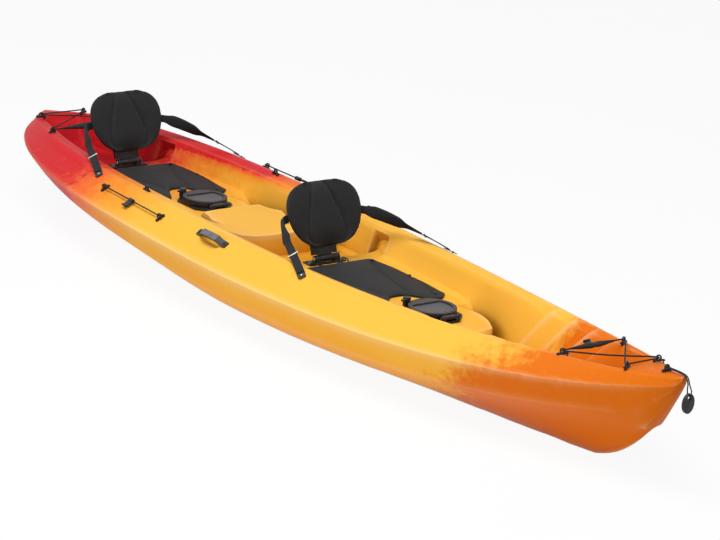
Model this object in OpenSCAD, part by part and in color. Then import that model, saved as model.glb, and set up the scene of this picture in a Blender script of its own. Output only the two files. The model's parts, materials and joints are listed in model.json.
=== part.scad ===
// Tandem sit-on-top kayak. The bow points to +X, and the keel rests on Z = 0.

/* [Hull] */
// Overall length of the hull
hull_l = 3658; // [3620:1:3700]
// Greatest breadth, at the wale
beam = 864; // [850:1:880]
// Height of the side rail where it is lowest
rail_h = 284; // [280:1:292]
// Height of the stem head
bow_h = 365; // [355:1:375]
// Height of the stern
stern_h = 248; // [244:1:256]
// Height of the wale, the widest line of the side, amidships
wale_h = 204; // [199:1:209]
// Height of the bilge amidships
bilge_h = 51; // [46:1:56]
// How far the bilge lies inside the wale
bilge_in = 110; // [105:1:115]
// How far the top edge of the side lies inside the wale
shoulder_in = 94; // [91:1:97]
// How far the crest of the rail lies inside the wale
crest_in = 140; // [136:1:144]
// Width of the rail from its crest to the edge of the well
rail_w = 38; // [35:1:41]
// Wall of the moulding
wall = 4; // [3.5:0.5:5]

/* [Cockpits] */
// Distance from the front seat's hinge to the rear seat's hinge
seat_pitch = 1270; // [1260:1:1280]
// Height of the seat decks and of the saddles that carry the hatches
seat_h = 192; // [188:1:196]
// Height of the trough behind the front seat and of the stern well's floor
trough_h = 150; // [145:1:156]
// Height of the foot wells
foot_h = 95; // [90:1:100]
// Half the width of the rear saddle at its waist
saddle_half = 118; // [114:1:122]
// Height of the bench between the cockpits
bench_h = 226; // [220:1:232]
// How far the foot ribs stand out from the wall
rib_d = 16; // [12:1:18]
// Radius of the scupper holes
scupper_r = 11; // [9:0.5:12]

/* [Seats] */
// Width of a seat back's pad
back_w = 308; // [296:1:320]
// Height of a seat back's pad
back_h = 228; // [218:1:238]
// Thickness of a seat back's pad at its crown
back_t = 40; // [36:1:44]
// Lean of the seat backs, in degrees
back_lean = 23; // [20:0.5:25]
// Height of a seat back's pad above its hinge
neck_h = 36; // [34:1:42]
// Radius of the seat hinge pins
hinge_pin_r = 5; // [4.5:0.25:5.5]
// Thickness of the seat pads
pad_t = 13; // [10:1:14]
// Width of the strap webbing
strap_w = 28; // [26:1:30]
// Thickness of the strap webbing
strap_t = 2.4; // [2:0.1:3]

/* [Hatches] */
// Radius of a hatch's mouth
mouth_r = 44; // [42:0.5:45]
// Radius of a hatch's lid
lid_r = 80; // [78:1:81]
// Thickness of a hatch's lid
lid_t = 20; // [19:0.5:22]
// Thickness of a hatch's base frame
frame_t = 8; // [7:0.5:9]
// Length of a hatch's base frame
frame_l = 204; // [200:1:208]
// Width of a hatch's base frame
frame_w = 160; // [156:1:164]
// Radius of the hatch hinge pins
lid_pin_r = 2.5; // [2:0.25:3]

/* [Deck fittings] */
// Radius of the hole in the pad eyes
eye_bore_r = 5; // [4.75:0.25:5.5]
// Thickness of the pad eyes' lugs
eye_t = 6; // [5:0.5:7]
// Radius of the elastic cord
cord_r = 2.5; // [2:0.1:2.8]
// Length of a carry handle
grip_l = 168; // [160:1:176]
// Width of a carry handle's grip
grip_w = 24; // [22:1:26]
// Radius of the fitting screws' shanks
screw_r = 2.2; // [2:0.1:2.4]

/* [Hidden] */
$fn = 32;

// Clearances
running_gap = 0.05;
side_gap = 0.5;
rest_gap = 0.3;
pad_gap = 2;
eps = 0.01;

// Places along the hull
half_l = hull_l / 2;
wide_x = -90;
// The seats move with the stern by half of any change of the hull's length at that end
seat_reach = 974.5;
front_x = seat_reach - half_l / 2;
rear_x = front_x - seat_pitch;
seats_x = [front_x, rear_x];
bench_front_x = front_x - 242;
bench_aft_x = bench_front_x - 363;
hatch_dx = [590, 520];
hatches_x = seats_x + hatch_dx;
hatch_cut = 104;
saddle_end_x = front_x + 880;
bow_well_x = half_l - 175;
stern_well_x = 95 - half_l;
handle_x = bench_front_x + 52;
step_l = 40;
step_x = -70;
niche_x = -24;
niche_d = 26;
foot_l = 110;
rib_n = 4;
rib_fore_gap = 157;
first_rib_x = saddle_end_x + 85;
rib_pitch = (bow_well_x - rib_fore_gap - first_rib_x) / rib_n;
ribs_x = [for (i = [0:rib_n - 1]) first_rib_x + i * rib_pitch];
ribs_end_x = ribs_x[rib_n - 1] + rib_pitch;

// Shape of the ends
stem_half = 9;
stem_gap = 18;
forefoot_l = 484;
stern_rise_l = 640;
stern_keel_h = 165;
bow_bilge_h = 208;
stern_bilge_h = 167;
bow_wale_h = bow_h - 20;
stern_wale_h = stern_h - 20;
bow_floor_h = 205;
shoulder_drop = 22;
rail_drop = 9;
deck_crown = 7;
tongue_half = 222;
aft_rail_w = 20;
scoop_d = 20;
runner_h = 26;
rib_lean = 130;
rib_cut = 24;
lean_share = [0, 0, 0.25, 0.6, 1, 1, 0.95, 0.5, 0.08];
bowl_share = [0, 0.2, 0.42, 0.56, 0.68, 0.78, 0.86, 0.93, 0.985, 1];
deck_share = [0, 0.16, 0.3, 0.42, 0.52, 0.62, 0.7, 0.79, 0.87, 0.94];

function clamp01(t) = min(1, max(0, t));
function mix(a, b, t) = a + (b - a) * t;
function unit(v) = v / max(norm(v), 0.000001);
// Smooth rise from 0 at a to 1 at b
function ramp(a, b, x) = let (t = clamp01((x - a) / (b - a))) t * t * (3 - 2 * t);
// A flat-topped bump that rises from a to b and falls from c to d
function bump(a, b, c, d, x) = ramp(a, b, x) * (1 - ramp(c, d, x));

// Lines of the hull, each as a function of the place along it
function reach(x) = x > wide_x ? (x - wide_x) / (half_l - wide_x) : (wide_x - x) / (half_l + wide_x);
function fullness(x) =
    let (r = min(1, reach(x)))
    x > wide_x ? pow(1 - pow(r, 1.91), 0.8) : pow(1 - pow(r, 3.45), 0.71);
function sheer(x, mid, bow, stern, fore, aft) =
    x > wide_x ? mix(mid, bow, pow(reach(x), fore)) : mix(mid, stern, pow(reach(x), aft));
function keel_z(x) =
    let (fore = half_l - forefoot_l, aft = stern_rise_l - half_l)
    x > fore ? (bow_h - stem_gap) * pow((x - fore) / forefoot_l, 2.7)
    : x < aft ? stern_keel_h * pow((aft - x) / stern_rise_l, 2.2)
    : 0;
function wale_y(x) = mix(stem_half, beam / 2, fullness(x));
function bilge_y(x) =
    let (fine = x > wide_x ? 0.35 : 0.42)
    wale_y(x) * (1 - 2 * bilge_in / beam - fine * pow(reach(x), 2));
function bilge_z(x) = max(sheer(x, bilge_h, bow_bilge_h, stern_bilge_h, 3.2, 1.3), keel_z(x) + 8);
function wale_z(x) = max(sheer(x, wale_h, bow_wale_h, stern_wale_h, 3.55, 1.12), bilge_z(x) + 5);
function shoulder_y(x) = wale_y(x) - shoulder_in * fullness(x);
function shoulder_z(x) =
    max(sheer(x, rail_h - shoulder_drop, bow_h - 8, stern_h - 10, 2.6, 7.7), wale_z(x) + 4);
function crest_y(x) = wale_y(x) - crest_in * fullness(x);
function crest_z(x) = max(sheer(x, rail_h, bow_h, stern_h, 2.6, 7.7), shoulder_z(x) + 3);

// Lines of the wells
function foot(x) =
    max(ramp(hatches_x[0] - 70, hatches_x[0] + 90, x),
        bump(hatches_x[1] - 40, hatches_x[1] + 90, bench_front_x - 240, bench_front_x - 140, x));
// Half the width of what stands between the foot wells: a tongue in front, a waisted saddle behind
function saddle(x) =
    let (d = max(0, x - hatches_x[0] + 30), e = (x - hatches_x[1] - 160) / 200)
    x > bench_front_x ? max(40, tongue_half - 0.4 * d - 0.0005 * d * d)
    : mix(saddle_half, tongue_half, min(1, e * e));
function bench(x) = bump(bench_aft_x - 6, bench_aft_x + 26, bench_front_x - 3, bench_front_x + 9, x);
function bow_floor(x) = mix(foot_h, bow_floor_h, ramp(saddle_end_x + 60, bow_well_x - 40, x));
function seat_step(x) =
    max(bump(rear_x + step_x, rear_x + step_x + step_l, bench_front_x - 3, bench_front_x + 9, x),
        ramp(front_x + step_x, front_x + step_x + step_l, x));
function deck_z(x) =
    let (seat = mix(mix(trough_h, seat_h, seat_step(x)), bench_h, bench(x)))
    mix(seat, bow_floor(x), ramp(saddle_end_x - 85, saddle_end_x, x));
function floor_z(x) = mix(deck_z(x), bow_floor(x), foot(x));
function well(x) = bump(stern_well_x, stern_well_x + 110, bow_well_x - 150, bow_well_x, x);
function rail_width(x) = rail_w + aft_rail_w * (1 - ramp(bench_aft_x, bench_front_x, x));
function well_y(x) = crest_y(x) - rail_width(x) * sqrt(fullness(x));
function wall_run(x) = min(mix(28, 62, ramp(front_x + 480, saddle_end_x + 60, x)), well_y(x) / 2);
function rib(x) =
    let (past = [for (r = ribs_x) if (x >= r) r])
    len(past) == 0 || x > ribs_end_x ? 0 : 1 - (x - past[len(past) - 1]) / rib_pitch;
function rib_zone(x) =
    let (end = ribs_end_x - 0.75 * rib_pitch)
    bump(saddle_end_x - 90, saddle_end_x + 80, end - 0.85 * rib_pitch, end, x);
// How far the foot of the well's wall lies behind its top
function lean(x) =
    rib_lean * ramp(hatches_x[0] + 30, first_rib_x, x) * (1 - ramp(ribs_end_x - rib_pitch, bow_well_x, x));
function niche(x) =
    max([for (s = seats_x) let (c = s + niche_x) bump(c - 46, c - 34, c + 34, c + 46, x)]);
function scoop(x) = bump(handle_x - 60, handle_x - 30, handle_x + 30, handle_x + 60, x);

// Slope of the panel between the crest and the shoulder, and of the side below it, in degrees
function rail_slope(x) = atan2(crest_z(x) - shoulder_z(x), shoulder_y(x) - crest_y(x));
function panel_slope(x) = atan2(shoulder_z(x) - wale_z(x), wale_y(x) - shoulder_y(x));

// Half a section from the middle of the deck, over the rail and down to the keel
function well_points(x) =
    let (
        ridge = rib_zone(x) * rib(x),
        edge_y = well_y(x) - 0.6 * rib_d * ridge,
        edge_z = crest_z(x) - rail_drop * fullness(x) - rib_cut * (rib_zone(x) - 0.85 * ridge),
        side_y = edge_y - wall_run(x) - 0.4 * rib_d * ridge,
        top_y = min(mix(side_y - 72, saddle(x), foot(x)), side_y * 0.86),
        run = min(36, (side_y - top_y) * 0.4),
        corner = min(20, (side_y - top_y) * 0.3),
        top_z = deck_z(x),
        low_z = floor_z(x),
        n = niche(x) * niche_d,
        bowl = bench(x) * (1 - foot(x)),
        points = [
            [0, top_z],
            [min(hatch_cut / 2, top_y * 0.62), top_z],
            [top_y, top_z - 3 * foot(x)],
            [top_y + run * 0.4, mix(top_z, low_z, 0.45)],
            [top_y + run * 0.85, mix(top_z, low_z, 0.93)],
            [side_y - corner, low_z],
            [side_y + n, low_z + 9],
            [mix(side_y, edge_y, 0.55) + n, mix(low_z, edge_z, 0.5)],
            [edge_y - 1, edge_z - 13],
            [edge_y + 9 * fullness(x), edge_z]
        ]
    )
    [for (i = [0:len(points) - 1])
        let (s = bowl_share[i])
        mix(points[i], [s * points[9].x, mix(top_z, edge_z, pow(s, 3))], bowl)];
function deck_points(x) =
    [for (s = deck_share) [s * crest_y(x), crest_z(x) + deck_crown * (1 - s * s)]];
function side_points(x) =
    let (
        c = [crest_y(x), crest_z(x)],
        s = [shoulder_y(x), shoulder_z(x)],
        w = [wale_y(x), wale_z(x)],
        b = [bilge_y(x), bilge_z(x)],
        k = keel_z(x),
        f = fullness(x),
        sharp = pow(reach(x), x > wide_x ? 3 : 2),
        dent = scoop_d * scoop(x),
        runner_y = b.x * 0.7,
        runner_z = max(k + 4, mix(runner_h, b.y - 4, clamp01(1.2 * sharp))),
        flat_z = k + max(0, 0.3 * (b.y - k)) * ramp(0.45, 1, reach(x))
    )
    [
        c,
        [mix(c.x, s.x, 0.6), mix(c.y, s.y, 0.45)] - dent * [0.3, 0.6],
        s - dent * [0.6, 0.8],
        mix(s, w, 0.5) + [0, 3 * f],
        w,
        [mix(w.x, b.x, 0.3), mix(w.y, b.y, 0.6)],
        b,
        [runner_y, runner_z],
        [runner_y / 2, flat_z],
        [0, k]
    ];
function half_section(x) =
    let (d = deck_points(x), p = well_points(x), k = well(x))
    concat([for (i = [0:len(d) - 1]) mix(d[i], p[i], k)], side_points(x));
half_n = len(half_section(0));
ring_n = 2 * half_n - 2;
function section(x) =
    let (h = half_section(x))
    let (back = [for (i = [0:half_n - 1]) i < len(lean_share) ? well(x) * lean_share[i] * lean(x) : 0])
    concat(
        [for (i = [0:half_n - 1]) [x - back[i], h[i].x, h[i].y]],
        [for (i = [half_n - 2:-1:1]) [x - back[i], -h[i].x, h[i].y]]
    );
// Height of the deck and the rail's inner half at a place
function deck_at(x, y) = lookup(abs(y), [for (i = [0:10]) half_section(x)[i]]);

// Stations: each entry is a place and the number of steps to the next one
function cockpit_breaks(s, h) = [
    [s + niche_x - 46, 1], [s + niche_x - 34, 1], [s + step_x + step_l, 1],
    [s + niche_x + 34, 1], [s + niche_x + 46, 3], [h - hatch_cut / 2 - foot_l, 3], [h - hatch_cut / 2, 1]
];
breaks = concat(
    [[-half_l, 1], [12 - half_l, 1], [45 - half_l, 1], [stern_well_x, 3], [stern_well_x + 110, 3]],
    cockpit_breaks(rear_x, hatches_x[1]),
    [[hatches_x[1] + hatch_cut / 2, 1], [bench_aft_x - 8, 2], [bench_aft_x + 27, 2]],
    [[bench_front_x - 240, 1], [bench_front_x - 140, 1], [bench_front_x - 60, 1], [bench_front_x - 4, 1]],
    [[bench_front_x + 10, 1], [handle_x - 30, 1], [handle_x + 30, 1], [handle_x + 60, 1]],
    cockpit_breaks(front_x, hatches_x[0]),
    [[hatches_x[0] + hatch_cut / 2, 2], [saddle_end_x - 88, 2], [saddle_end_x + 2, 1]],
    [for (r = ribs_x) each [[r - 8, 1], [r, 1]]],
    [[ribs_end_x - 8, 1], [ribs_end_x + 2, 1]],
    [[bow_well_x - 150, 3], [bow_well_x, 2], [half_l - 110, 2], [half_l - 14, 1], [half_l, 0]]
);
stations = concat(
    [for (i = [0:len(breaks) - 2], j = [0:breaks[i][1] - 1])
        mix(breaks[i][0], breaks[i + 1][0], j / breaks[i][1])],
    [half_l]
);
function row_at(places, x) = [for (i = [0:len(places) - 1]) if (abs(places[i] - x) < eps) i][0];

// Faces of a skin of n rings of m points, closed at both ends, without the quads in skip
function skin_faces(n, m, skip = []) =
    let (
        half = m / 2,
        sides = [for (i = [0:n - 2], j = [0:m - 1])
            if (len([for (q = skip) if (q == [i, j]) 1]) == 0)
            let (a = i * m + j, b = i * m + (j + 1) % m)
            each [[a, b, a + m], [b, b + m, a + m]]],
        cap = [for (j = [0:half - 1])
            let (p = j, q = j + 1, r = m - j - 1, s = (m - j) % m)
            each concat(q == r ? [] : [[p, r, q]], p == s ? [] : [[p, s, r]])],
        last = (n - 1) * m
    )
    concat(sides, cap, [for (f = cap) [f[0] + last, f[2] + last, f[1] + last]]);
module loft(rings) {
    polyhedron([for (r = rings) each r], skin_faces(len(rings), len(rings[0])));
}

// Outer and inner skins of the hull
outer = [for (x = stations) section(x)];
function normal_at(i, j) =
    let (a = outer[max(0, i - 1)][j], b = outer[min(len(outer) - 1, i + 1)][j])
    unit(cross(b - a, outer[i][(j + 1) % ring_n] - outer[i][(j + ring_n - 1) % ring_n]));
inner_rows = [for (i = [0:len(stations) - 1])
    if (stations[i] > 40 - half_l && stations[i] < half_l - 100) i];
outer_only = [8, 11, 13];
inner_half = [for (i = [0:half_n - 1]) if (len(search(i, outer_only)) == 0) i];
inner_cols = concat(inner_half, [for (i = [len(inner_half) - 2:-1:1]) ring_n - inner_half[i]]);
inner_n = len(inner_cols);
inner = [for (i = inner_rows) [for (j = inner_cols) outer[i][j] - wall * normal_at(i, j)]];
inner_x = [for (i = inner_rows) stations[i]];

// Scuppers in the trough and the rear foot wells: the stations round each, then its place and columns
scupper_rows = [[handle_x - 30, handle_x + 30], [hatches_x[1] + hatch_cut / 2, bench_aft_x - 8]];
scuppers = [for (r = scupper_rows, s = [-1, 1])
    let (x = (r[0] + r[1]) / 2, h = half_section(x))
    [r[0], x, s * (h[4].x + h[5].x) / 2, 4, 17]];
function near_col(j, y, m) = y > 0 ? j : m - j - 1;
// Eight points of a round hole in the quad at row i and column j
function hole_points(rows, i, j, x, y, r) =
    let (a = rows[i][j], b = rows[i][j + 1], c = rows[i + 1][j], d = rows[i + 1][j + 1])
    [for (k = [0:7])
        let (
            px = x + r * cos(45 * k),
            py = y + sign(b.y - a.y) * r * sin(45 * k),
            s = (px - a.x) / (c.x - a.x),
            t = (py - mix(a.y, c.y, s)) / (mix(b.y, d.y, s) - mix(a.y, c.y, s))
        )
        [px, py, mix(mix(a.z, c.z, s), mix(b.z, d.z, s), t)]];
// Faces between that quad's corners and the eight points, which start at index o
function hole_faces(i, j, m, o) =
    let (q = [i * m + j, i * m + j + 1, (i + 1) * m + j + 1, (i + 1) * m + j])
    [for (k = [0:3])
        let (
            c = q[(k + 1) % 4],
            e = o + (12 - 2 * k) % 8,
            f = o + (11 - 2 * k) % 8,
            g = o + (10 - 2 * k) % 8
        )
        each [[q[k], c, e], [e, c, f], [f, c, g]]];
// Faces of the tube from the eight deck points at o to the eight bottom points after them
function tube_faces(o) =
    [for (k = [0:7])
        let (n = (k + 1) % 8, p = o + 8 + (8 - k) % 8, q = o + 8 + (8 - n) % 8)
        each [[o + n, o + k, p], [o + n, p, q]]];
function column(cols, j) = search(j, cols)[0];
function skin_skip(places, m, cols) = concat(
    [for (h = hatches_x) let (i = row_at(places, h - hatch_cut / 2)) each [[i, 0], [i, m - 1]]],
    [for (s = scuppers, j = [s[3], s[4]]) [row_at(places, s[0]), near_col(column(cols, j), s[2], m)]]
);
function skin_holes(rows, places, m, cols, r) =
    [for (s = scuppers, j = [s[3], s[4]])
        each hole_points(rows, row_at(places, s[0]), near_col(column(cols, j), s[2], m), s[1], s[2], r)];
function skin_mesh(rows, places, m, cols) =
    let (from = len(rows) * m)
    concat(
        skin_faces(len(rows), m, skin_skip(places, m, cols)),
        [for (k = [0:len(scuppers) - 1])
            let (s = scuppers[k], i = row_at(places, s[0]), o = from + 16 * k)
            each concat(
                hole_faces(i, near_col(column(cols, s[3]), s[2], m), m, o),
                hole_faces(i, near_col(column(cols, s[4]), s[2], m), m, o + 8),
                tube_faces(o)
            )]
    );
function rim(places, h, m, o) =
    let (i = row_at(places, h - hatch_cut / 2))
    [for (p = [[0, m - 1], [0, 0], [0, 1], [1, 1], [1, 0], [1, m - 1]]) o + (i + p[0]) * m + p[1]];

// Hollow moulded hull
module hull() {
    all_cols = [for (j = [0:ring_n - 1]) j];
    outer_holes = skin_holes(outer, stations, ring_n, all_cols, scupper_r);
    inner_holes = skin_holes(inner, inner_x, inner_n, inner_cols, scupper_r + 0.6 * wall);
    o = len(outer) * ring_n + len(outer_holes);
    color("gold")
    polyhedron(
        concat([for (r = outer) each r], outer_holes, [for (r = inner) each r], inner_holes),
        concat(
            skin_mesh(outer, stations, ring_n, all_cols),
            [for (f = skin_mesh(inner, inner_x, inner_n, inner_cols)) [f[0] + o, f[2] + o, f[1] + o]],
            [for (h = hatches_x)
                let (a = rim(stations, h, ring_n, 0), b = rim(inner_x, h, inner_n, o))
                each [for (k = [0:5])
                    let (n = (k + 1) % 6)
                    each [[a[k], a[n], b[k]], [a[n], b[n], b[k]]]]]
        )
    );
}

// A ring across a form, from its left edge over the front and back along the rear
function form_ring(left, front, right, rear) = concat(
    [left], front, [right], [for (i = [len(rear) - 1:-1:0]) rear[i]]
);

// Seat pads: thin moulded foam with two lobes at the front and channels that close in on the notch
pad_rear_dx = 42;
pad_notch_dx = 400;
pad_tip_dx = 484;
pad_half = 178;
pad_rows = 13;
pad_cols = 20;
function pad_room(s) = (s == front_x ? hatch_dx[0] : hatch_dx[1]) - hatch_dx[0];
function pad_front(s, u) =
    let (notch = pad_notch_dx + pad_room(s), tip = pad_tip_dx + 0.5 * pad_room(s))
    mix(notch, tip, ramp(0.12, 0.62, abs(u))) - 36 * ramp(0.72, 1, abs(u));
function pad_width(v) = pad_half * (0.94 + 0.06 * ramp(0, 0.3, v) - 0.05 * ramp(0.6, 1, v));
function pad_channel(u, v) =
    let (c = 0.3 + 0.6 * pow(1 - v, 2.2))
    exp(-pow((abs(u) - c) / 0.05, 2)) * ramp(0.03, 0.15, v) * (1 - ramp(0.85, 0.98, v));
function pad_point(s, u, v, up) =
    let (
        x = s + mix(pad_rear_dx, pad_front(s, u), v),
        y = u * pad_width(v),
        crown = (1 - pow(abs(u), 4)) * (1 - pow(abs(2 * v - 1), 6)),
        t = up * (pad_t * (0.55 + 0.45 * crown) - 4 * pad_channel(u, v))
    )
    [x, y, deck_at(x, y) + pad_gap + t];
module seat_pad(s) {
    us = [for (i = [1:pad_cols - 1]) 2 * i / pad_cols - 1];
    color("#1c1c1e")
    loft([for (r = [0:pad_rows])
        let (v = r / pad_rows)
        form_ring(
            pad_point(s, -1, v, 0.3),
            [for (u = us) pad_point(s, u * 0.99, v, 1)],
            pad_point(s, 1, v, 0.3),
            [for (u = us) pad_point(s, u * 0.99, v, 0)]
        )]);
}
module front_seat_pad() {
    seat_pad(front_x);
}
module rear_seat_pad() {
    seat_pad(rear_x);
}

// Studs that hold the seat pads down
stud_r = 5;
function pad_studs(s) = [[72, 140], [262 + 0.5 * pad_room(s), 158], [452 + 0.5 * pad_room(s), 120]];
module seat_pad_studs() {
    color("#2a2a2c")
    for (s = seats_x, p = pad_studs(s), side = [-1, 1]) {
        z = deck_at(s + p.x, p.y);
        translate([s + p.x, side * p.y, z - wall]) cylinder(r = screw_r, h = wall + pad_gap + pad_t);
        translate([s + p.x, side * p.y, z + pad_gap + pad_t - 2]) cylinder(r = stud_r, h = 3);
    }
}

// Seat backs, drawn with the hinge at the origin and leaning back
hinge_rise = 19;
hinge_z = seat_h + hinge_rise;
knuckle_r = 12;
knuckle_half = 29;
lug_t = 20;
base_t = 5;
shell_t = 4;
back_rows = 14;
back_cols = 18;
back_wrap = 34;
back_edge = 13;
function back_half(v) =
    back_w / 2 * (0.86 + 0.14 * ramp(0, 0.6, v)) * pow(1 - pow(abs(2 * v - 1), 2.85), 0.35);
function back_rear(u) = back_wrap * u * u - 4;
function back_seam(u, v) =
    let (c = 0.26 + 0.54 * pow(1 - v, 1.7))
    exp(-pow((abs(u) - c) / 0.06, 2)) * ramp(0.02, 0.2, v);
function back_thick(u, v) =
    let (crown = (1 - pow(abs(u), 3)) * pow(1 - pow(abs(2 * v - 1), 4), 0.6))
    back_edge + (back_t - back_edge) * crown - 6 * back_seam(u, v) * crown;
function back_v(i, n) = 0.5 - 0.49 * cos(180 * i / n);
function back_point(u, v, share) =
    [back_rear(u) + share * back_thick(u, v), u * back_half(v), neck_h + back_h * v];
module at_hinge(s) {
    translate([s, 0, hinge_z]) rotate([0, -back_lean, 0]) children();
}
module back_pad(s) {
    us = [for (i = [1:back_cols - 1]) -cos(180 * i / back_cols)];
    color("#202022")
    at_hinge(s)
    loft([for (i = [0:back_rows])
        let (v = back_v(i, back_rows))
        form_ring(
            back_point(1, v, 0.5),
            [for (u = us) back_point(-u, v, 1)],
            back_point(-1, v, 0.5),
            [for (u = us) back_point(-u, v, 0)]
        )]);
}
module front_back_pad() {
    back_pad(front_x);
}
module rear_back_pad() {
    back_pad(rear_x);
}

// A round bar along Y, centred on the origin
module bar_y(r, length) {
    rotate([90, 0, 0]) cylinder(r = r, h = length, center = true);
}

// Stiff shell behind a back's pad, with its neck and hinge knuckle
shell_rows = 8;
shell_cols = 10;
stem_w = 54;
neck_w = 104;
neck_t = 7;
neck_z = knuckle_r + 2;
function shell_point(u, v, share) =
    [back_rear(0.9 * u) - 2 - share * shell_t, 0.9 * u * back_half(v), neck_h + back_h * v];
module shell_plate() {
    us = [for (i = [1:shell_cols - 1]) 2 * i / shell_cols - 1];
    loft([for (i = [0:shell_rows])
        let (v = mix(0.04, 0.9, i / shell_rows))
        form_ring(
            shell_point(1, v, 0.5),
            [for (u = us) shell_point(-u, v, 0)],
            shell_point(-1, v, 0.5),
            [for (u = us) shell_point(-u, v, 1)]
        )]);
}
module back_shell(s) {
    neck_top = neck_h + 0.4 * back_h;
    color("#161617")
    at_hinge(s)
    difference() {
        union() {
            shell_plate();
            bar_y(knuckle_r, 2 * knuckle_half);
            translate([-knuckle_r, -stem_w / 2, 0]) cube([neck_t, stem_w, neck_h]);
            translate([-knuckle_r, -neck_w / 2, neck_z]) cube([neck_t, neck_w, neck_top - neck_z]);
        }
        bar_y(hinge_pin_r + running_gap, 3 * knuckle_half);
    }
}
module front_back_shell() {
    back_shell(front_x);
}
module rear_back_shell() {
    back_shell(rear_x);
}

// Hinge base screwed to the seat deck, with two lugs
base_front = 14;
base_rear = -30;
base_w = 150;
base_screws = [for (dx = [base_rear + 8, base_front - 9], y = [-64, 64]) [dx, y]];
lug_y = knuckle_half + side_gap;
module hinge_base(s) {
    color("#161617")
    translate([s, 0, seat_h])
    difference() {
        union() {
            translate([base_rear, -base_w / 2, 0]) cube([base_front - base_rear, base_w, base_t]);
            for (side = [-1, 1]) {
                translate([0, side * (lug_y + lug_t / 2), 0]) {
                    translate([0, 0, hinge_rise]) bar_y(knuckle_r, lug_t);
                    translate([-knuckle_r, -lug_t / 2, 0]) cube([2 * knuckle_r, lug_t, hinge_rise]);
                }
            }
        }
        translate([0, 0, hinge_rise]) bar_y(hinge_pin_r + running_gap, 4 * lug_y);
        for (p = base_screws)
            translate([p.x, p.y, -1]) cylinder(r = screw_r + running_gap, h = base_t + 2);
    }
}
module front_hinge_base() {
    hinge_base(front_x);
}
module rear_hinge_base() {
    hinge_base(rear_x);
}

// Hinge pin with a head at each end
head_t = 3;
module hinge_pin(s) {
    reach = lug_y + lug_t + side_gap;
    color("#c8c9cc")
    translate([s, 0, hinge_z]) {
        bar_y(hinge_pin_r, 2 * reach);
        for (side = [-1, 1])
            translate([0, side * (reach + head_t / 2), 0]) bar_y(hinge_pin_r + 2.5, head_t);
    }
}
module front_hinge_pin() {
    hinge_pin(front_x);
}
module rear_hinge_pin() {
    hinge_pin(rear_x);
}

// A pan-head screw whose head rests at Z = 0
screw_head_r = 4;
screw_head_t = 2.4;
module screw(length) {
    cylinder(r = screw_head_r, h = screw_head_t);
    translate([0, 0, -length]) cylinder(r = screw_r, h = length + 1);
}
module hinge_screws() {
    color("#1d1d1e")
    for (s = seats_x, p = base_screws)
        translate([s + p.x, p.y, seat_h + base_t]) screw(base_t + wall);
}

// Straps from the seat backs to the rails: padded sleeve, then bare webbing
strap_share = 0.48;
anchor_dx = 275;
anchor_share = 0.55;
anchor_turn = 25;
rail_lift = 5;
strap_rows = 20;
sleeve_w = 42;
sleeve_t = 9;
anchor_t = 3;
strap_lift = anchor_t + strap_t / 2 + rest_gap;
function strap_attach(s, side) =
    let (x = back_rear(0.94) - strap_t / 2 - pad_gap, z = neck_h + strap_share * back_h)
    [
        s + x * cos(back_lean) - z * sin(back_lean),
        side * 0.94 * back_half(strap_share),
        hinge_z + x * sin(back_lean) + z * cos(back_lean)
    ];
// A point on the rail's outer slope: t runs from the crest to the shoulder
function rail_point(x, side, t, lift) =
    let (p = mix([crest_y(x), crest_z(x)], [shoulder_y(x), shoulder_z(x)], t), a = rail_slope(x))
    [x, side * (p.x + lift * sin(a)), p.y + lift * cos(a)];
function rail_up(x, side) = [0, side * sin(rail_slope(x)), cos(rail_slope(x))];
function anchor_way(s, side) =
    let (a = rail_slope(s + anchor_dx))
    [cos(anchor_turn), side * sin(anchor_turn) * cos(a), -sin(anchor_turn) * sin(a)];
function strap_end(s, side) = rail_point(s + anchor_dx, side, anchor_share, rail_lift + strap_lift);
function bezier(a, b, c, d, t) =
    a * pow(1 - t, 3) + b * 3 * t * pow(1 - t, 2) + c * 3 * t * t * (1 - t) + d * pow(t, 3);
function strap_at(s, side, t) =
    let (a = strap_attach(s, side), d = strap_end(s, side))
    bezier(a, a + [-6, side * 62, 4], d - 85 * anchor_way(s, side) + [0, 0, 12], d, t);
function strap_along(s, side, t) = unit(strap_at(s, side, t + eps) - strap_at(s, side, t - eps));
function strap_across(s, side, t) =
    let (
        a = strap_along(s, side, t),
        flat = -side * cross(rail_up(s + anchor_dx, side), a),
        up = [-sin(back_lean), 0, cos(back_lean)],
        w = mix(up, flat, ramp(0.2, 0.9, t))
    )
    unit(w - a * (w * a));
function sleeve(t) = bump(0.16, 0.24, 0.5, 0.56, t);
module strap(s, side) {
    color("#19191a")
    loft([for (i = [0:strap_rows])
        let (
            t = i / strap_rows,
            p = strap_at(s, side, t),
            w = strap_across(s, side, t),
            n = cross(w, strap_along(s, side, t)),
            a = mix(strap_w, sleeve_w, sleeve(t)) / 2,
            b = mix(strap_t, sleeve_t, sleeve(t)) / 2
        )
        [p + a * w, p + 0.8 * a * w + b * n, p - 0.8 * a * w + b * n,
            p - a * w, p - 0.8 * a * w - b * n, p + 0.8 * a * w - b * n]]);
}
module front_left_strap() {
    strap(front_x, 1);
}
module front_right_strap() {
    strap(front_x, -1);
}
module rear_left_strap() {
    strap(rear_x, 1);
}
module rear_right_strap() {
    strap(rear_x, -1);
}

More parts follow.
